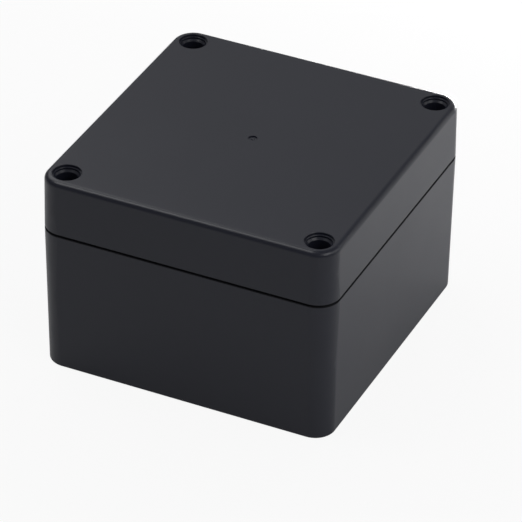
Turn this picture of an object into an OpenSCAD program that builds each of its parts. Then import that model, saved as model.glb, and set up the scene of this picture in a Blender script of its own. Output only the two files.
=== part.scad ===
// Screw-lid project box: a deep base and a shallower lid, both moulded with drafted
// sides and rounded corners. The lid carries a gasket in a groove that a tongue on
// the base presses into. Four machine screws sit deep in stepped wells at the
// corners and turn into brass inserts in the base's posts. The wall-mounting holes
// stand beside those posts, outside the seal.
// Millimetres, +Z up, origin at the middle of the underside.

/* [Box] */
// Width over the seam, left to right
box_w = 83; // [72:1:140]
// Depth over the seam, front to back
box_d = 81; // [72:1:140]
// Height from the underside to the top of the lid
box_h = 56; // [44:1:110]
// Height of the lid, from the seam to its top
lid_h = 15.8; // [13:0.1:22]
// Radius of the upright corners at the seam
corner_r = 6; // [3.5:0.5:7]
// How far each side of the lid leans in from the seam to the top
lid_draft = 0.2; // [0.1:0.05:0.6]
// How far each side of the base leans in from the seam to the underside
base_draft = 0.5; // [0.1:0.05:0.8]
// Radius along the lid's top edge
top_round = 1.2; // [0.5:0.1:1.6]
// Radius along the base's bottom edge
bottom_round = 0.6; // [0.4:0.1:1.4]
// Height of the shadow line under the lid's edge
shadow_gap = 0.35; // [0.2:0.05:0.6]
// How far the shadow line runs in from the sides
shadow_depth = 0.8; // [0.4:0.1:1.2]

/* [Walls] */
// Thickness of the sides and of the walls round the corner pockets
wall = 3.2; // [2.6:0.1:4]
// Thickness of the base's floor
floor_t = 3; // [2:0.1:4]
// Thickness of the lid's top
lid_top_t = 3; // [2.4:0.1:4]

/* [Seal] */
// Flat land outside the gasket groove
land_w = 1.6; // [1.4:0.1:2]
// Width of the gasket groove
groove_w = 1.8; // [1.6:0.1:2.4]
// Thickness of the lip inside the groove
lip_t = 1; // [0.8:0.1:1.6]
// Height of the base's tongue above the seam
tongue_h = 2; // [1.2:0.1:3]
// Gap on each side of the tongue in the groove
tongue_clear = 0.3; // [0.2:0.05:0.4]
// Thickness of the gasket
gasket_t = 1.4; // [1:0.1:2]
// Gap on each side of the gasket in the groove
gasket_clear = 0.05; // [0.02:0.01:0.1]
// Gap between the tongue and the gasket
gasket_gap = 0.1; // [0.05:0.05:0.2]
// Radius that the seal turns on at its outer corners
seal_r = 5.4; // [5:0.1:7]
// Radius of the seal's inner turns, at the corner pockets
notch_r = 1.5; // [1:0.1:2.5]

/* [Corners] */
// Depth of a corner pocket from the box's left or right side to the seal
zone_x = 11.8; // [11.4:0.1:14]
// Depth of a corner pocket from the box's front or back to the seal
zone_y = 20; // [19.5:0.5:24]
// Distance of a lid screw from the sides
screw_inset = 5.9; // [5.4:0.1:6.2]
// Diameter of the posts under the lid screws
post_d = 9.2; // [8:0.1:10]
// Distance of a wall-mounting hole from the left or right side
mount_inset_x = 7.5; // [7:0.5:9]
// Distance of a wall-mounting hole from the front or back
mount_inset_y = 15.5; // [15:0.5:18]
// Diameter of the wall-mounting holes
mount_d = 4.3; // [3.5:0.1:5]

/* [Screw wells] */
// Diameter of the shallow upper step at the lid's top
well_d = 7.4; // [7.2:0.1:8.2]
// Depth of the upper step
well_t = 0.6; // [0.4:0.1:1]
// Width of the flat ledge at the foot of the upper step
shoulder_w = 0.25; // [0.2:0.05:0.35]
// Height of the wall below the ledge
step_t = 0.5; // [0.3:0.1:1]
// Chamfer round the well's mouth and round the ledge
well_lip = 0.12; // [0.1:0.02:0.2]
// Diameter of the bore that takes the screw's head
head_bore_d = 5.7; // [5.6:0.05:6]
// Thickness of the lid under the screw's head
seat_t = 4; // [3:0.5:6]
// Diameter of the clearance hole under the head
shank_hole_d = 3.4; // [3.2:0.1:3.8]

/* [Lid screws] */
// Diameter of the cheese head
head_d = 5.5; // [5:0.1:5.5]
// Height of the head
head_h = 2; // [1.6:0.1:2.4]
// Diameter over the thread
screw_d = 3; // [2.5:0.1:3]
// Length under the head
screw_l = 12; // [10:1:14]
// Width across the cross recess
recess_w = 2.8; // [2.2:0.1:3.2]
// Thickness of each arm of the cross recess
recess_t = 0.65; // [0.5:0.05:0.8]
// Depth of the cross recess
recess_h = 1.2; // [0.8:0.1:1.4]

/* [Threaded inserts] */
// Outer diameter of a brass insert
insert_d = 4.6; // [4.2:0.1:5]
// Length of an insert
insert_l = 7; // [5:0.5:9]
// Running gap between a screw and its insert, on the radius
thread_clear = 0.05; // [0.03:0.01:0.1]
// Depth of the waist between an insert's two knurled bands
waist = 0.2; // [0.1:0.05:0.3]
// Gap between an insert and its pocket, on the radius
insert_bond = 0.02; // [0.01:0.01:0.05]
// How far an insert sits below the top of its post
insert_sink = 0.2; // [0.1:0.1:0.5]

/* [Board bosses] */
// Distance between the board bosses, left to right
boss_pitch_x = 42; // [30:1:44]
// Distance between the board bosses, front to back
boss_pitch_y = 58; // [40:1:62]
// Height of the bosses above the floor
boss_h = 5; // [3:0.5:10]
// Diameter of the bosses
boss_d = 6; // [5:0.5:7]
// Diameter of the pilot holes for self-tapping screws
pilot_d = 2.5; // [2:0.1:3]
// Depth of the pilot holes
pilot_t = 6; // [4:0.5:7]

/* [Gate mark] */
// Diameter of the round dimple that the mould's gate leaves
gate_d = 2.4; // [1.6:0.1:3]
// Depth of the dimple
gate_t = 0.3; // [0.2:0.05:0.5]
// Diameter of the nub at the dimple's middle
nub_d = 1; // [0.6:0.1:1.2]
// Distance of the dimple to the left of the lid's middle
gate_off = 0.6; // [0:0.1:2]

/* [Hidden] */
$fn = 96;
plastic = [0.16, 0.16, 0.17];
seal_rubber = [0.32, 0.32, 0.33];
steel = [0.75, 0.76, 0.78];
brass = [0.80, 0.65, 0.33];
cut = 0.01;                      // how far a cutter runs past the face it opens
seam_z = box_h - lid_h;
groove_h = tongue_h + gasket_gap + gasket_t;
lip_in = land_w + groove_w + lip_t;
post_x = box_w / 2 - screw_inset;
post_y = box_d / 2 - screw_inset;
mount_x = box_w / 2 - mount_inset_x;
mount_y = box_d / 2 - mount_inset_y;
boss_at = [boss_pitch_x / 2, boss_pitch_y / 2];
web_w = 2.4;                     // how far a post's web reaches in past its axis
seat_z = seam_z + seat_t;
insert_top = seam_z - insert_sink;
step_r = well_d / 2 - shoulder_w - well_lip;
cone_h = step_r - head_bore_d / 2;
cone_z = box_h - well_t - well_lip - step_t;
nub_h = gate_t * 0.6;

// ---- outlines, seen from above ----

module rounded_rect(w, d, r) {
    square([w - 2 * r, d], center = true);
    square([w, d - 2 * r], center = true);
    for (x = [-1, 1], y = [-1, 1])
        translate([x * (w / 2 - r), y * (d / 2 - r)]) circle(r);
}

// Puts one copy of its child in each quarter of the box
module each_corner() {
    for (x = [0, 1], y = [0, 1])
        mirror([x, 0]) mirror([0, y]) children();
}

// The sealed bay: a rectangle notched at its corners to pass inside the pockets.
// Outlines at different values of inset run parallel to each other.
module bay(inset) {
    notch_x = box_w / 2 - zone_x - inset;
    notch_y = box_d / 2 - zone_y - inset;
    turn = notch_r + inset;
    rounded_rect(box_w - 2 * inset, 2 * notch_y, seal_r - inset);
    rounded_rect(2 * notch_x, box_d - 2 * inset, seal_r - inset);
    each_corner() translate([notch_x, notch_y]) difference() {
        translate([-cut, -cut]) square(turn + cut);
        translate([turn, turn]) circle(turn);
    }
}

// A ring of the seal, between two insets
module seal_ring(outer, inner) {
    difference() {
        bay(outer);
        bay(inner);
    }
}

// The open corner pockets, round a post of the given diameter and its web
module pockets(post) {
    difference() {
        rounded_rect(box_w - 2 * wall, box_d - 2 * wall, 2);
        bay(0);
        each_corner() {
            translate([post_x, post_y]) circle(d = post);
            translate([0, post_y - web_w]) square([box_w, box_d]);
        }
    }
}

// ---- drafted outer form ----

// Half of the section through a side wall. The wall leans in from reach at z = 0 to
// the foot of the rounded edge, which ends level with the face at z = h.
module drafted_half(reach, lean, h, round_r) {
    c = [reach - lean - round_r, h - round_r];
    polygon([[0, 0], [reach, 0], [c.x + round_r, c.y], c, [c.x, h], [0, h]]);
    translate(c) intersection() {
        circle(round_r);
        square(round_r);
    }
}

// The same section carried round a rounded rectangle
module drafted_block(w, d, r, lean, h, round_r) {
    for (turn = [0, 180]) rotate(turn) {
        rotate([90, 0, 90]) linear_extrude(w - 2 * r, center = true)
            drafted_half(d / 2, lean, h, round_r);
        rotate([90, 0, 0]) linear_extrude(d - 2 * r, center = true)
            drafted_half(w / 2, lean, h, round_r);
    }
    each_corner() translate([w / 2 - r, d / 2 - r])
        rotate_extrude(angle = 90) drafted_half(r, lean, h, round_r);
}

// ---- base ----

module base_outer() {
    translate([0, 0, seam_z]) mirror([0, 0, 1])
        drafted_block(box_w, box_d, corner_r, base_draft, seam_z, bottom_round);
}

module insert_pocket() {
    translate([post_x, post_y, insert_top - insert_l])
        cylinder(d = insert_d + 2 * insert_bond, h = box_h);
    translate([post_x, post_y, seat_z - screw_l - 2])
        cylinder(d = shank_hole_d, h = screw_l);
}

module enclosure_base() {
    color(plastic) {
        difference() {
            base_outer();
            translate([0, 0, floor_t]) linear_extrude(box_h) difference() {
                bay(wall);
                each_corner() translate(boss_at) circle(d = boss_d);
            }
            translate([0, 0, floor_t + boss_h]) linear_extrude(box_h) bay(wall);
            translate([0, 0, floor_t]) linear_extrude(box_h) pockets(post_d);
            each_corner() {
                insert_pocket();
                translate([mount_x, mount_y, -cut]) cylinder(d = mount_d, h = floor_t + 2 * cut);
                translate([boss_at.x, boss_at.y, floor_t + boss_h - pilot_t])
                    cylinder(d = pilot_d, h = pilot_t + cut);
            }
        }
        translate([0, 0, seam_z]) linear_extrude(tongue_h)
            seal_ring(land_w + tongue_clear, land_w + groove_w - tongue_clear);
    }
}

// ---- lid ----

// Stepped well: upper step, ledge, lower step, countersink, head bore, clearance hole
module screw_well() {
    translate([post_x, post_y, 0]) rotate_extrude() polygon([
        [0, box_h + cut], [well_d / 2 + well_lip + cut, box_h + cut],
        [well_d / 2 + well_lip, box_h], [well_d / 2, box_h - well_lip],
        [well_d / 2, box_h - well_t], [step_r + well_lip, box_h - well_t],
        [step_r, box_h - well_t - well_lip], [step_r, cone_z],
        [head_bore_d / 2, cone_z - cone_h], [head_bore_d / 2, seat_z],
        [shank_hole_d / 2, seat_z], [shank_hole_d / 2, seam_z - cut],
        [0, seam_z - cut]]);
}

module gate_mark() {
    translate([-gate_off, 0, box_h - gate_t]) difference() {
        cylinder(d = gate_d, h = gate_t + cut);
        cylinder(d1 = nub_d, d2 = nub_d * 0.7, h = nub_h);
    }
}

module lid() {
    hollow = lid_h - lid_top_t;
    color(plastic) difference() {
        translate([0, 0, seam_z])
            drafted_block(box_w, box_d, corner_r, lid_draft, lid_h, top_round);
        translate([0, 0, seam_z - cut]) {
            linear_extrude(hollow + cut) bay(lip_in);
            linear_extrude(hollow + cut) pockets(post_d + 0.8);
            linear_extrude(groove_h + cut) seal_ring(land_w, land_w + groove_w);
            linear_extrude(shadow_gap + cut) difference() {
                square([box_w + 2, box_d + 2], center = true);
                rounded_rect(box_w - 2 * shadow_depth, box_d - 2 * shadow_depth,
                             corner_r - shadow_depth);
            }
        }
        each_corner() screw_well();
        gate_mark();
    }
}

// ---- seal and fasteners ----

module lid_gasket() {
    color(seal_rubber) translate([0, 0, seam_z + tongue_h + gasket_gap])
        linear_extrude(gasket_t)
            seal_ring(land_w + gasket_clear, land_w + groove_w - gasket_clear);
}

// x_side and y_side are -1 or 1: left or right, front or back
module lid_screw(x_side, y_side) {
    tip = 0.5;
    color(steel) translate([x_side * post_x, y_side * post_y, seat_z]) difference() {
        rotate_extrude() polygon([
            [0, -screw_l], [screw_d / 2 - tip, -screw_l], [screw_d / 2, -screw_l + tip],
            [screw_d / 2, 0], [head_d / 2, 0], [head_d / 2, head_h - 0.3],
            [head_d / 2 - 0.3, head_h], [0, head_h]]);
        translate([0, 0, head_h - recess_h / 2 + cut / 2]) {
            cube([recess_w, recess_t, recess_h + cut], center = true);
            cube([recess_t, recess_w, recess_h + cut], center = true);
        }
    }
}

module threaded_insert(x_side, y_side) {
    bore_r = screw_d / 2 + thread_clear;
    outer_r = insert_d / 2;
    band = insert_l * 0.38;
    color(brass) translate([x_side * post_x, y_side * post_y, insert_top - insert_l])
        rotate_extrude() polygon([
            [bore_r, 0], [outer_r, 0], [outer_r, band], [outer_r - waist, band],
            [outer_r - waist, insert_l - band], [outer_r, insert_l - band],
            [outer_r, insert_l], [bore_r, insert_l]]);
}

enclosure_base();
lid();
lid_gasket();
lid_screw(-1, -1);  // lid_screw_front_left
lid_screw(1, -1);  // lid_screw_front_right
lid_screw(-1, 1);  // lid_screw_back_left
lid_screw(1, 1);  // lid_screw_back_right
threaded_insert(-1, -1);  // threaded_insert_front_left
threaded_insert(1, -1);  // threaded_insert_front_right
threaded_insert(-1, 1);  // threaded_insert_back_left
threaded_insert(1, 1);  // threaded_insert_back_right
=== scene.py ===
# %% [markdown]
# # A screw-lid project box
# A project box is a two-part moulded case for electronics: a deep base, a shallower lid, a rubber
# seal between them, and four machine screws that go down deep wells into brass inserts. All of it
# comes from the CAD model, exact and in metres, and could simply be given materials. But CAD edges
# are sharper than moulded ones, and its screws and inserts are plain. So the seal is used as it is,
# the two mouldings are copied and their edges softened, and the screws and inserts are made anew
# with threads and knurls.
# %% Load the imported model
import math

import bmesh
import bpy
from mathutils import Matrix, Vector


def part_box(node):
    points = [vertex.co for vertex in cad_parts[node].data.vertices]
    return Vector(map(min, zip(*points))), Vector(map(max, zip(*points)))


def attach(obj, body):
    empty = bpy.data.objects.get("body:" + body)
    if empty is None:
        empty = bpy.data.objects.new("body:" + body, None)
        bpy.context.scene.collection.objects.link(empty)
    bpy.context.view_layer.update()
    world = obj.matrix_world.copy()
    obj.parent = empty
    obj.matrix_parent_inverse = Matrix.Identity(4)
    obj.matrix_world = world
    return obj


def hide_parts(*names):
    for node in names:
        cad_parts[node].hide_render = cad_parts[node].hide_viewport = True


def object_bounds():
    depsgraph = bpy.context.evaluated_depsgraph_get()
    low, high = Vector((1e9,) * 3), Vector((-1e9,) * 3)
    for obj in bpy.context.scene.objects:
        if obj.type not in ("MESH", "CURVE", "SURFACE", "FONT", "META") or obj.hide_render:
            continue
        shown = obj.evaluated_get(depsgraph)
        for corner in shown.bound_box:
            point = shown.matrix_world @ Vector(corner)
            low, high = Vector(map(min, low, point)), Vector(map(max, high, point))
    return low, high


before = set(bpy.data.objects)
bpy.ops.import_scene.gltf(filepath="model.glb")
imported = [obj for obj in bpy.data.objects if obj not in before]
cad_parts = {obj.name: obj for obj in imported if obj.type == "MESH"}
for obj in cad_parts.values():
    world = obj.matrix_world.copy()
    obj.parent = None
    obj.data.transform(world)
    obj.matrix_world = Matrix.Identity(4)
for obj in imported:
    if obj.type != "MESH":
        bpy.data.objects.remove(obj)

MM = 0.001
UP = Vector((0, 0, 1))
CORNERS = ("front_left", "front_right", "back_left", "back_right")
cad_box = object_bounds()
print("CAD nodes:", sorted(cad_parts))
print("size in mm:", [round(side / MM, 2) for side in cad_box[1] - cad_box[0]])

# %% [markdown]
# ## The camera
# A small product is shot from far away with a long lens, which keeps its upright edges nearly
# parallel. The camera could be placed by hand and turned with a Track To constraint. Here it is
# swung round a point in the middle of the box by an azimuth and an elevation, because those two
# angles say plainly what the viewer sees: the left side, the front and the lid. The
# Standard view shows each colour as it is written, where a filmic one would grey the whites.
# %% Place the camera
AZIMUTH, ELEVATION, ROLL = math.radians(-65.02), math.radians(33.98), math.radians(0.72)
CAMERA_DISTANCE, FOCAL_LENGTH_MM = 0.9889, 268.66
LOOK_AT = Vector((-12.21, -8.13, 28)) * MM

lens = bpy.data.cameras.new("product_lens")
lens.lens = FOCAL_LENGTH_MM
camera = bpy.data.objects.new("camera", lens)
bpy.context.scene.collection.objects.link(camera)
camera.matrix_world = (
    Matrix.Translation(LOOK_AT)
    @ Matrix.Rotation(AZIMUTH, 4, "Z")
    @ Matrix.Rotation(math.pi / 2 - ELEVATION, 4, "X")
    @ Matrix.Rotation(ROLL, 4, "Z")
    @ Matrix.Translation(UP * CAMERA_DISTANCE)
)
bpy.context.scene.camera = camera
bpy.context.scene.view_settings.view_transform = "Standard"
print("camera stands at", [round(x, 3) for x in camera.matrix_world.translation])

# %% [markdown]
# ## Helpers for materials
# Colours are easiest to compare as the hex values of paint charts, but a shader wants linear light,
# so one function turns one into the other. A node tree is made of nodes with settings, values and
# links, so one function adds a node with all three.
# %% Helpers for materials
def linear(hex_colour):
    """An sRGB hex colour as the linear RGBA that a shader socket takes."""
    channels = [int(hex_colour[i:i + 2], 16) / 255 for i in (1, 3, 5)]
    return [c / 12.92 if c <= 0.04045 else ((c + 0.055) / 1.055) ** 2.4 for c in channels] + [1]


def socket(sockets, name):
    """The socket in use that has this name, among those of a node."""
    return next(s for s in sockets if s.name == name and s.enabled)


def add_node(tree, kind, values=(), links=(), **settings):
    """A new node with its settings, its input values, and links from other nodes' outputs."""
    node = tree.nodes.new(kind)
    for name, value in settings.items():
        setattr(node, name, value)
    for name, value in dict(values).items():
        socket(node.inputs, name).default_value = value
    for name, (source, output) in dict(links).items():
        tree.links.new(socket(source.outputs, output), socket(node.inputs, name))
    return node


def start_material(name, **shader_values):
    """A new material, its tree, its shader with these values, and its Object coordinates."""
    material = bpy.data.materials.new(name)
    material.use_nodes = True
    tree = material.node_tree
    shader = tree.nodes["Principled BSDF"]
    for name, value in shader_values.items():
        shader.inputs[name.replace("_", " ")].default_value = value
    return material, tree, shader, (add_node(tree, "ShaderNodeTexCoord"), "Object")


def wire(material, tree, shader, tint, gloss, relief):
    """Send a colour, a roughness and a bump node to the shader, and count the nodes."""
    tree.links.new(socket(tint.outputs, "Result"), shader.inputs["Base Color"])
    tree.links.new(socket(gloss.outputs, "Result"), shader.inputs["Roughness"])
    tree.links.new(socket(relief.outputs, "Normal"), shader.inputs["Normal"])
    print(material.name, "has", len(tree.nodes), "nodes")


def per_metre(size_mm):
    """The scale of a texture whose features are this many millimetres, in metre coordinates."""
    return 1 / (size_mm * MM)


print("black ABS in linear light:", [round(c, 4) for c in linear("#20222D")[:3]])

# %% [markdown]
# ## Moulded ABS
# The box is black ABS, injection moulded in a tool whose walls were spark eroded to a fine satin.
# That gives the eye a dark, even surface with a soft sheen, broad on the flats and drawn together
# into thin bright lines on the small edge radii. An image could hold the grain, but noise in real
# millimetres stays sharp at any distance. The true grain is about 0.05 mm, too fine to show, so it
# is drawn at 0.3 mm. A slow noise varies the gloss, as the melt does where it cools unevenly. The
# walls of the seam see little but each other, and their shade is painted in: a mark on their
# vertices, made with the mouldings below, turns them matt and nearly black.
# %% Moulded ABS
GRAIN_MM, FLOW_MM = 0.3, 24

moulded_abs, tree, shader, place = start_material("moulded_abs_black", IOR=1.45)
grain = add_node(tree, "ShaderNodeTexNoise",
                 {"Scale": per_metre(GRAIN_MM), "Detail": 2, "Roughness": 0.6}, {"Vector": place})
flow = add_node(tree, "ShaderNodeTexNoise",
                {"Scale": per_metre(FLOW_MM), "Detail": 3, "Roughness": 0.5}, {"Vector": place})
tint = add_node(tree, "ShaderNodeMix", {"A": linear("#20222D"), "B": linear("#252732")},
                {"Factor": (flow, "Fac")}, data_type="RGBA")
gloss = add_node(tree, "ShaderNodeMapRange",
                 {"From Min": 0.3, "From Max": 0.7, "To Min": 0.28, "To Max": 0.32},
                 {"Value": (flow, "Fac")})
painted_seam_shade = add_node(tree, "ShaderNodeAttribute", attribute_name="painted_seam_shade")
# Painted shade: where the seam is marked, the colour turns near black and matt in place of the
# gap's shadow.
shaded_tint = add_node(tree, "ShaderNodeMix", {"B": linear("#111116")},
                       {"A": (tint, "Result"), "Factor": (painted_seam_shade, "Fac")}, data_type="RGBA")
shaded_gloss = add_node(tree, "ShaderNodeMix", {"B": 1},
                        {"A": (gloss, "Result"), "Factor": (painted_seam_shade, "Fac")})
relief = add_node(tree, "ShaderNodeBump", {"Strength": 0.25, "Distance": 0.01 * MM},
                  {"Height": (grain, "Fac")})
wire(moulded_abs, tree, shader, shaded_tint, shaded_gloss, relief)

# %% [markdown]
# ## Silicone rubber, stainless steel and brass
# The seal is grey silicone rubber cord: matt, with a little dust on it. The screws are stainless
# steel, cold headed and rolled, so the light breaks up in faint rings around each one. The inserts
# are turned free-machining brass, yellow and bright on the cut faces. Scanned surfaces could be
# laid on them, but pieces this small need only one shader with one noise each: even for rubber,
# and for the metals drawn out round the piece, as tool marks are.
# %% Silicone rubber
RUBBER_DUST_MM = 0.5

silicone_rubber, tree, shader, place = start_material("silicone_rubber_grey", IOR=1.43)
dust = add_node(tree, "ShaderNodeTexNoise",
                {"Scale": per_metre(RUBBER_DUST_MM), "Detail": 4, "Roughness": 0.6},
                {"Vector": place})
tint = add_node(tree, "ShaderNodeMix", {"A": linear("#6C6E70"), "B": linear("#7D7F80")},
                {"Factor": (dust, "Fac")}, data_type="RGBA")
gloss = add_node(tree, "ShaderNodeMapRange", {"To Min": 0.55, "To Max": 0.75},
                 {"Value": (dust, "Fac")})
relief = add_node(tree, "ShaderNodeBump", {"Strength": 0.3, "Distance": 0.02 * MM},
                  {"Height": (dust, "Fac")})
wire(silicone_rubber, tree, shader, tint, gloss, relief)


# %% Stainless steel and brass
STREAK = 0.25


def machined_metal(name, dark, bright, gloss_range, streak_mm, relief_mm):
    """A metal whose tool marks are streaks, fine up and down and long round the piece."""
    material, tree, shader, place = start_material(name, Metallic=1)
    stretch = add_node(tree, "ShaderNodeMapping", {"Scale": (STREAK, STREAK, 1)},
                       {"Vector": place})
    marks = add_node(tree, "ShaderNodeTexNoise",
                     {"Scale": per_metre(streak_mm), "Detail": 3, "Roughness": 0.6},
                     {"Vector": (stretch, "Vector")})
    tint = add_node(tree, "ShaderNodeMix", {"A": linear(dark), "B": linear(bright)},
                    {"Factor": (marks, "Fac")}, data_type="RGBA")
    gloss = add_node(tree, "ShaderNodeMapRange",
                     {"To Min": gloss_range[0], "To Max": gloss_range[1]},
                     {"Value": (marks, "Fac")})
    relief = add_node(tree, "ShaderNodeBump", {"Strength": 0.3, "Distance": relief_mm * MM},
                      {"Height": (marks, "Fac")})
    wire(material, tree, shader, tint, gloss, relief)
    return material


stainless_steel = machined_metal("stainless_steel_rolled", "#A9ABAD", "#C4C6C8",
                                 gloss_range=(0.22, 0.38), streak_mm=0.08, relief_mm=0.004)
turned_brass = machined_metal("turned_brass", "#B48E45", "#D2B066",
                              gloss_range=(0.2, 0.34), streak_mm=0.06, relief_mm=0.004)

# %% Finish the CAD pieces
FINISHES = {"enclosure_base": moulded_abs, "lid": moulded_abs, "lid_gasket": silicone_rubber}
for node, finish in FINISHES.items():
    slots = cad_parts[node].material_slots
    for slot in slots:
        slot.material = finish
    print(node, "wears", finish.name, "in", len(slots), "slot(s)")

# %% [markdown]
# ## Threads
# A machine screw's thread is one profile carried round and up in a helix. It could be faked with a
# stack of rings, but rings don't climb. Blender's spin operator takes a step along its axis as well
# as a turn, so spinning one pitch of the profile makes the real helix, and each turn meets the last
# where their points are merged. A little more is spun than is needed, and two flat cuts trim it.
# %% Helpers for turned pieces
TURN_STEPS = 32
THREAD_PITCH = 0.5 * MM
MERGE_WITHIN, CUT_WITHIN, LEVEL_WITHIN = 0.001 * MM, 0.0001 * MM, 0.002 * MM
SHARP_FROM = math.radians(32)


def spin_profile(mesh, profile):
    """An outline of (radius, height) points, turned once about the Z axis."""
    points = [mesh.verts.new((radius, 0, height)) for radius, height in profile]
    edges = [mesh.edges.new(pair) for pair in zip(points, points[1:])]
    bmesh.ops.spin(mesh, geom=points + edges, cent=(0, 0, 0), axis=UP, dvec=(0, 0, 0),
                   angle=math.tau, steps=TURN_STEPS, use_merge=True, use_normal_flip=False,
                   use_duplicate=False)
    bmesh.ops.remove_doubles(mesh, verts=mesh.verts, dist=MERGE_WITHIN)


def cut_level(mesh, height, **cleared):
    """Slice a mesh at a height, and clear what lies on one side if asked to."""
    bmesh.ops.bisect_plane(mesh, geom=mesh.verts[:] + mesh.edges[:] + mesh.faces[:],
                           dist=CUT_WITHIN, plane_co=(0, 0, height), plane_no=UP, **cleared)


def spin_thread(mesh, root, crest, low, high):
    """A helix between two radii, spun from one pitch's outline and cut flat at two heights."""
    flat = THREAD_PITCH / 8
    turns = math.ceil((high - low) / THREAD_PITCH) + 2
    profile = [(root, 0), (root, flat), (crest, THREAD_PITCH / 2 - flat / 2),
               (crest, THREAD_PITCH / 2 + flat / 2), (root, THREAD_PITCH - flat),
               (root, THREAD_PITCH)]
    start = low - 1.5 * THREAD_PITCH
    points = [mesh.verts.new((radius, 0, start + height)) for radius, height in profile]
    edges = [mesh.edges.new(pair) for pair in zip(points, points[1:])]
    bmesh.ops.spin(mesh, geom=points + edges, cent=(0, 0, 0), axis=UP,
                   dvec=UP * (THREAD_PITCH / TURN_STEPS), angle=math.tau * turns,
                   steps=TURN_STEPS * turns, use_merge=False, use_normal_flip=False,
                   use_duplicate=False)
    bmesh.ops.remove_doubles(mesh, verts=mesh.verts, dist=MERGE_WITHIN)
    for height, above in ((low, False), (high, True)):
        cut_level(mesh, height, clear_outer=above, clear_inner=not above)


def open_ring(mesh, height):
    """The edges at a height that have no face on one side."""
    return [edge for edge in mesh.edges if edge.is_boundary
            and all(abs(v.co.z - height) < LEVEL_WITHIN for v in edge.verts)]


def finish_piece(mesh, name, axis_at, finish, node, body):
    """Turn the mesh's faces outwards, move it to its axis, smooth all but the sharp edges, and
    hand it to its body."""
    bmesh.ops.recalc_face_normals(mesh, faces=mesh.faces)
    bmesh.ops.translate(mesh, verts=mesh.verts, vec=(axis_at.x, axis_at.y, 0))
    open_edges = sum(not edge.is_manifold for edge in mesh.edges)
    triangles = sum(len(face.verts) - 2 for face in mesh.faces)
    data = bpy.data.meshes.new(name)
    for edge in mesh.edges:
        edge.smooth = edge.calc_face_angle(0) < SHARP_FROM
    mesh.to_mesh(data)
    mesh.free()
    data.materials.append(finish)
    piece = bpy.data.objects.new(name, data)
    bpy.context.scene.collection.objects.link(piece)
    data.shade_smooth()
    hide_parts(node)
    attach(piece, body)
    print(f"{name}: {triangles} triangles, {open_edges} open edges, rides on {body}")
    return piece

# %% [markdown]
# ## The two mouldings
# No mould leaves a knife edge: the lips that meet at the seam are eased, which is why a seam reads
# as a soft dark groove and not as a hairline. The CAD keeps those lips sharp, its gap is narrow and
# its top edge a little tight. A Bevel modifier could ease the lips, but the long thin triangles of
# an exported solid limit its width. The outline is a known rounded rectangle, so a copy of each
# moulding is sliced at a few heights near its lip, and the slices are drawn in along a quarter
# circle. The top edge is already a curve, so its points only move to a larger one.
# %% Helpers for the mouldings
CORNER_RADIUS, LID_LEAN = 6 * MM, 0.2 * MM
CAD_TOP_ROUND, TOP_ROUND = 1.2 * MM, 1.6 * MM
CAD_SEAM_GAP, SEAM_GAP, SEAM_DEPTH = 0.35 * MM, 0.5 * MM, 1 * MM
LIP_ROUND, LIP_SLICES, LIP_BAND = 0.22 * MM, 3, 0.35 * MM
TOLERANCE, CAD_MERGE_WITHIN = 0.001 * MM, 0.0001 * MM

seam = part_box("lid")[0].z
straight = cad_box[1].xy - Vector((CORNER_RADIUS, CORNER_RADIUS))


def reach_out(point):
    """The way to a point from the nearest spot of the outline's core, and how far it is."""
    core = Vector([max(-most, min(most, value)) for value, most in zip(point.xy, straight)])
    out = point.xy - core
    return out, out.length


def in_band(point, depth):
    """Whether a point lies no deeper than this inside the outline."""
    return reach_out(point)[1] > CORNER_RADIUS - depth


def open_seam(mesh):
    """Raise the lid's lip a little, so that the gap at the seam is as wide as it should look."""
    for v in mesh.verts:
        at_lip = abs(v.co.z - seam - CAD_SEAM_GAP) < TOLERANCE
        if at_lip and in_band(v.co, SEAM_DEPTH):
            v.co.z += SEAM_GAP - CAD_SEAM_GAP


def ease_lip(mesh, lip, away):
    """Round the outer edge at a height, on a wall that leads up (1) or down (-1) from it."""
    for step in range(1, LIP_SLICES + 1):
        share = 1 - math.cos(math.pi / 2 * step / LIP_SLICES)
        cut_level(mesh, lip + away * LIP_ROUND * share)
    for v in mesh.verts:
        short = LIP_ROUND - away * (v.co.z - lip)
        if in_band(v.co, LIP_BAND) and 0 < short < LIP_ROUND + TOLERANCE:
            out, reach = reach_out(v.co)
            short = min(short, LIP_ROUND)
            v.co.xy -= out * ((LIP_ROUND - math.sqrt(LIP_ROUND ** 2 - short ** 2)) / reach)


def widen_top_edge(mesh, top):
    """Swap the rounding of the top edge for a larger one, angle by angle."""
    rim = CORNER_RADIUS - LID_LEAN
    for v in mesh.verts:
        out, reach = reach_out(v.co)
        rise, run = v.co.z - (top - CAD_TOP_ROUND), reach - (rim - CAD_TOP_ROUND)
        if rise > -TOLERANCE and run > -TOLERANCE:
            angle = math.atan2(rise, run)
            v.co.xy += out * ((rim + TOP_ROUND * (math.cos(angle) - 1)) / reach - 1)
            v.co.z = top + TOP_ROUND * (math.sin(angle) - 1)


def shade_seam(mesh):
    """Mark each vertex for the painted shade: 1 in the gap and half way round its lips, then down
    to 0.
    """
    mark = mesh.verts.layers.float.new("painted_seam_shade")
    for v in mesh.verts:
        beyond = max(seam - v.co.z, v.co.z - seam - SEAM_GAP)
        if in_band(v.co, SEAM_DEPTH):
            v[mark] = max(0, min(1, 2 - 2 * beyond / LIP_ROUND))


def copy_of(node):
    """A watertight copy of a CAD node's mesh, to work on."""
    mesh = bmesh.new()
    mesh.from_mesh(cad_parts[node].data)
    bmesh.ops.remove_doubles(mesh, verts=mesh.verts, dist=CAD_MERGE_WITHIN)
    return mesh


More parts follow.
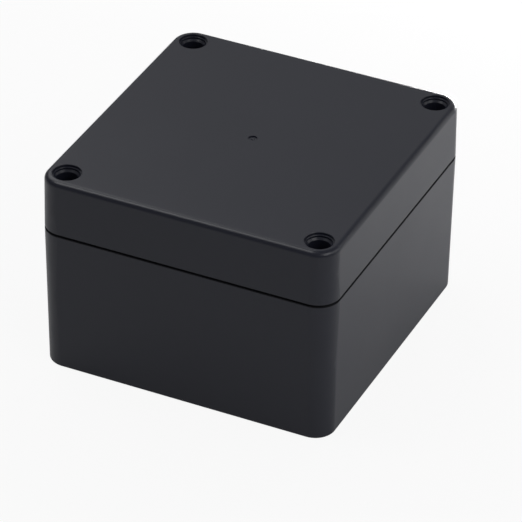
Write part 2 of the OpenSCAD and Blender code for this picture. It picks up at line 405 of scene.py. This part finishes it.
# %% Base and lid
base_mesh, lid_mesh = copy_of("enclosure_base"), copy_of("lid")
ease_lip(base_mesh, seam, -1)
open_seam(lid_mesh)
ease_lip(lid_mesh, seam + SEAM_GAP, 1)
widen_top_edge(lid_mesh, cad_box[1].z)
for mesh, name, node, body in ((base_mesh, "base_moulding", "enclosure_base", "base"),
                               (lid_mesh, "lid_moulding", "lid", "lid_assembly")):
    # The seam's shade is painted onto the vertices here, and the material reads it.
    shade_seam(mesh)
    piece = finish_piece(mesh, name, Vector(), moulded_abs, node, body)
    # The CAD's stored normals no longer fit, so flat faces set the shading of their rims instead.
    piece.data.attributes.remove(piece.data.attributes["custom_normal"])
    flats = piece.modifiers.new("flats_stay_flat", "WEIGHTED_NORMAL")
    flats.weight, flats.keep_sharp = 100, True

# %% [markdown]
# ## The lid screws
# Each lid is held by four M3 cheese-head screws with a cross recess, 12 mm long. Head and neck are
# turned from a profile, the thread is spun as a helix, and the two are joined ring to ring. The
# recess could be cut with a boolean, but a cross outline that is let into the head's top while it
# is still open, then drawn down and in, leaves a clean mesh with the tapered walls of a real one.
# %% Cross recess
RECESS_WIDTH, RECESS_ARM, RECESS_DEPTH = 2.8 * MM, 0.65 * MM, 1.2 * MM
RECESS_TAPER = 0.6


def let_in_recess(mesh, rim_edges, height):
    """Fill a round rim up to a cross outline, and sink the cross with tapering walls."""
    half, arm = RECESS_WIDTH / 2, RECESS_ARM / 2
    outline = []
    for quarter in range(4):
        turn = Matrix.Rotation(quarter * math.pi / 2, 4, "Z")
        for corner in ((half, -arm), (half, arm), (arm, arm)):
            outline.append(mesh.verts.new(turn @ Vector((*corner, height))))
    cross = [mesh.edges.new(pair) for pair in zip(outline, outline[1:] + outline[:1])]
    bmesh.ops.triangle_fill(mesh, edges=rim_edges + cross, use_beauty=True, use_dissolve=False)
    walls = bmesh.ops.extrude_edge_only(mesh, edges=cross)["geom"]
    floor = [v for v in walls if isinstance(v, bmesh.types.BMVert)]
    bmesh.ops.scale(mesh, verts=floor, vec=(RECESS_TAPER, RECESS_TAPER, 1))
    bmesh.ops.translate(mesh, verts=floor, vec=-UP * RECESS_DEPTH)
    bmesh.ops.edgeloop_fill(mesh, edges=[e for e in walls if isinstance(e, bmesh.types.BMEdge)])


# %% Machine screws
HEAD_HEIGHT, HEAD_ROUND = 2 * MM, 0.3 * MM
NECK, RUN_OUT = 0.5 * MM, 0.25 * MM
THREAD_RADIUS, CORE_RADIUS, POINT = 1.5 * MM, 1.2 * MM, 0.5 * MM
TIP_SHARE, RIM_SHARE, MID_ROUND = 0.8, 0.72, 0.3 * HEAD_ROUND

for corner in CORNERS:
    node = f"lid_screw_{corner}"
    low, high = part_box(node)
    centre, head_radius = (low + high) / 2, max(high.x - low.x, high.y - low.y) / 2
    seat, neck = high.z - HEAD_HEIGHT, high.z - HEAD_HEIGHT - NECK
    mesh = bmesh.new()
    spin_thread(mesh, CORE_RADIUS, THREAD_RADIUS, low.z, neck - RUN_OUT)
    for v in mesh.verts:
        reach = CORE_RADIUS * TIP_SHARE + (v.co.z - low.z)
        if v.co.z < low.z + POINT and v.co.xy.length > reach:
            v.co.xy *= reach / v.co.xy.length
    bmesh.ops.edgeloop_fill(mesh, edges=open_ring(mesh, low.z))
    spin_profile(mesh, [(CORE_RADIUS, neck), (CORE_RADIUS, (neck + seat) / 2),
                        (THREAD_RADIUS, seat), (head_radius, seat),
                        (head_radius, high.z - HEAD_ROUND),
                        (head_radius - MID_ROUND, high.z - MID_ROUND),
                        (head_radius - HEAD_ROUND, high.z), (RIM_SHARE * head_radius, high.z)])
    let_in_recess(mesh, open_ring(mesh, high.z), high.z)
    bmesh.ops.bridge_loops(mesh, edges=open_ring(mesh, neck) + open_ring(mesh, neck - RUN_OUT))
    finish_piece(mesh, f"machine_screw_{corner}", centre, stainless_steel, node,
                 f"screw_{corner}")

# %% [markdown]
# ## The threaded inserts
# A heat-set insert is a brass sleeve with a thread inside and two bands of slanted knurls outside,
# cut opposite ways so that it can neither turn nor pull out of the plastic. The knurls could be a
# bump pattern, but their teeth are the whole point of the part, so they are shaped: a circle is
# extruded up level by level, every other point is pulled in where a band has teeth, and the
# circle is turned a little over the height of each band. A cone at each mouth leads the screw in.
# %% Knurled sleeve
TEETH, TOOTH_DEPTH, SLANT = 30, 0.14 * MM, math.radians(10)
BORE_RADIUS, GROOVE_RADIUS = 1.55 * MM, 1.72 * MM
MOUTH_RADIUS, MOUTH_DEPTH = 1.9 * MM, 0.3 * MM
WAIST_DEPTH, RIM_CHAMFER = 0.25 * MM, 0.08 * MM


def add_ring(mesh, radius, height, segments):
    """A new circle of edges about the Z axis, and its points."""
    made = bmesh.ops.create_circle(mesh, cap_ends=False, segments=segments, radius=radius,
                                   matrix=Matrix.Translation(UP * height))["verts"]
    return made, list({edge for v in made for edge in v.link_edges})


def knurled_sleeve(mesh, low, high, radius):
    """The outside of an insert, from its lower rim to its upper rim."""
    length, inset = high - low, radius - WAIST_DEPTH
    # Each level is a share of the length, a radius, how deep its teeth are cut, and its turn.
    levels = [(0, inset, 0, 0), (0.04, radius, TOOTH_DEPTH, 0), (0.42, radius, TOOTH_DEPTH, SLANT),
              (0.45, inset, 0, SLANT), (0.55, inset, 0, SLANT), (0.58, radius, TOOTH_DEPTH, SLANT),
              (0.9, radius, TOOTH_DEPTH, 0), (0.92, inset, 0, 0), (0.95, inset, 0, 0),
              (0.96, radius, 0, 0), (1, radius - RIM_CHAMFER, 0, 0)]
    ring, edges = add_ring(mesh, radius, low, 2 * TEETH)
    bearing = {v: math.atan2(v.co.y, v.co.x) for v in ring}
    for share, reach, tooth, turn in levels:
        if share:
            made = bmesh.ops.extrude_edge_only(mesh, edges=edges)["geom"]
            ring = [g for g in made if isinstance(g, bmesh.types.BMVert)]
            edges = [g for g in made if isinstance(g, bmesh.types.BMEdge)]
            below = {tuple(round(c / MM, 4) for c in v.co): angle for v, angle in bearing.items()}
            bearing = {v: below[tuple(round(c / MM, 4) for c in v.co)] for v in ring}
        for v, angle in bearing.items():
            cut_in = round(angle / math.pi * TEETH) % 2 * tooth
            v.co = Matrix.Rotation(turn, 4, "Z") @ Vector((
                (reach - cut_in) * math.cos(angle), (reach - cut_in) * math.sin(angle),
                low + share * length))


for corner in CORNERS:
    node = f"threaded_insert_{corner}"
    low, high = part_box(node)
    mesh = bmesh.new()
    spin_thread(mesh, BORE_RADIUS, GROOVE_RADIUS, low.z + MOUTH_DEPTH, high.z - MOUTH_DEPTH)
    knurled_sleeve(mesh, low.z, high.z, (high.x - low.x) / 2)
    for rim, inward in ((low.z, MOUTH_DEPTH), (high.z, -MOUTH_DEPTH)):
        sleeve_rim = open_ring(mesh, rim)
        mouth, mouth_edges = add_ring(mesh, MOUTH_RADIUS, rim, TURN_STEPS)
        bmesh.ops.bridge_loops(mesh, edges=mouth_edges + open_ring(mesh, rim + inward))
        bmesh.ops.bridge_loops(mesh, edges=mouth_edges + sleeve_rim)
    finish_piece(mesh, f"knurled_insert_{corner}", (low + high) / 2, turned_brass, node,
                 "base")

# %% [markdown]
# ## The studio
# Dark satin plastic shows little of its own colour: what the eye reads is the room, reflected more
# and more strongly as a face turns edge on. A few bare bulbs would light the box, but each would
# burn a white spot into the lid. So the light is planned as reflections of soft boxes. The lid
# mirrors the widest, a pale wall behind it, topped up by one higher at the back. One overhead
# draws the bright line along the lid's left edge, and one in front lifts the left side. A weaker
# one and a low strip by the floor lift the right side, which mirrors the paper close to it. The
# room is dimmer at eye level than overhead, and that gives the edges their dark side.
# %% Room light
EYE_LEVEL, OVERHEAD = 0.05, 0.1

world = bpy.data.worlds.new("pale_room")
bpy.context.scene.world = world
world.use_nodes = True
tree = world.node_tree
room = tree.nodes["Background"]
room.inputs["Color"].default_value = linear("#F6F8FF")
direction = add_node(tree, "ShaderNodeTexCoord")
parts = add_node(tree, "ShaderNodeSeparateXYZ", links={"Vector": (direction, "Generated")})
level = add_node(tree, "ShaderNodeMapRange",
                 {"From Min": 0.1, "From Max": 0.6, "To Min": EYE_LEVEL, "To Max": OVERHEAD},
                 {"Value": (parts, "Z")})
tree.links.new(level.outputs["Result"], room.inputs["Strength"])
print("room light from", EYE_LEVEL, "at eye level to", OVERHEAD, "overhead")


# %% White to the camera
def whiten(tree, lit, out, camera_share, mirror_share):
    """Mix pure white into what the camera, and mirrors and glass to a lesser share, see."""
    rays = add_node(tree, "ShaderNodeLightPath")
    mirrored = add_node(tree, "ShaderNodeMath", links={"Value": (rays, "Is Glossy Ray")},
                        operation="ADD")
    tree.links.new(rays.outputs["Is Transmission Ray"], mirrored.inputs[1])
    faint = add_node(tree, "ShaderNodeMath", links={"Value": (mirrored, "Value")},
                     operation="MULTIPLY")
    faint.inputs[1].default_value = mirror_share
    seen = add_node(tree, "ShaderNodeMath", links={"Value": (rays, "Is Camera Ray")},
                    operation="MULTIPLY_ADD", use_clamp=True)
    seen.inputs[1].default_value = camera_share
    tree.links.new(faint.outputs["Value"], seen.inputs[2])
    white = add_node(tree, "ShaderNodeEmission" if lit.type != "BACKGROUND"
                     else "ShaderNodeBackground",
                     {"Color": linear("#FFFFFF"), "Strength": 1})
    mix = add_node(tree, "ShaderNodeMixShader", links={"Fac": (seen, "Value")})
    tree.links.new(lit.outputs[0], mix.inputs[1])
    tree.links.new(white.outputs[0], mix.inputs[2])
    tree.links.new(mix.outputs[0], out.inputs["Surface"])


MIRROR_SHARE = 0.1

whiten(tree, room, tree.nodes["World Output"], 1, MIRROR_SHARE)

# %% Floor
FLOOR_SIDE, FLOOR_DROP, FLOOR_CAMERA_SHARE = 6, 0.02 * MM, 0.91

paper = bpy.data.materials.new("matt_white_paper")
paper.use_nodes = True
tree = paper.node_tree
tree.nodes.remove(tree.nodes["Principled BSDF"])
sheet = add_node(tree, "ShaderNodeBsdfDiffuse", {"Color": linear("#E8E8E8")})
whiten(tree, sheet, tree.nodes["Material Output"], FLOOR_CAMERA_SHARE, MIRROR_SHARE)

mesh = bmesh.new()
bmesh.ops.create_grid(mesh, x_segments=1, y_segments=1, size=FLOOR_SIDE / 2,
                      matrix=Matrix.Translation(-UP * FLOOR_DROP))
data = bpy.data.meshes.new("floor")
mesh.to_mesh(data)
mesh.free()
data.materials.append(paper)
floor = bpy.data.objects.new("floor", data)
bpy.context.scene.collection.objects.link(floor)
print("floor is", FLOOR_SIDE, "m across")


# %% Soft boxes
def soft_box(name, azimuth, elevation, distance, width, height, brightness):
    """A rectangular lamp that faces the box from a bearing, as bright as white at 1."""
    lamp = bpy.data.lights.new(name, "AREA")
    lamp.shape = "RECTANGLE"
    lamp.size, lamp.size_y = width, height
    lamp.energy = brightness * math.pi * width * height
    stand = bpy.data.objects.new(name, lamp)
    bpy.context.scene.collection.objects.link(stand)
    stand.matrix_world = (Matrix.Rotation(math.radians(azimuth), 4, "Z")
                          @ Matrix.Rotation(math.radians(90 - elevation), 4, "X")
                          @ Matrix.Translation(UP * distance))
    print(name, "gives", round(lamp.energy, 2), "W")


# Azimuth and elevation in degrees; distance, width and height in metres; brightness.
soft_box("soft_box_wall", 115, 36, 1.4, 1.5, 0.9, 0.32)
soft_box("soft_box_back", 150, 50, 0.8, 0.5, 0.5, 1.5)
soft_box("soft_box_over", 210, 64, 0.9, 0.35, 0.35, 3.4)
soft_box("soft_box_near", 340, 40, 0.8, 0.5, 0.4, 2.25)
soft_box("soft_box_low", 85, 5, 0.35, 0.2, 0.05, 62)
soft_box("soft_box_right", 25, 25, 0.8, 0.5, 0.4, 1.2)
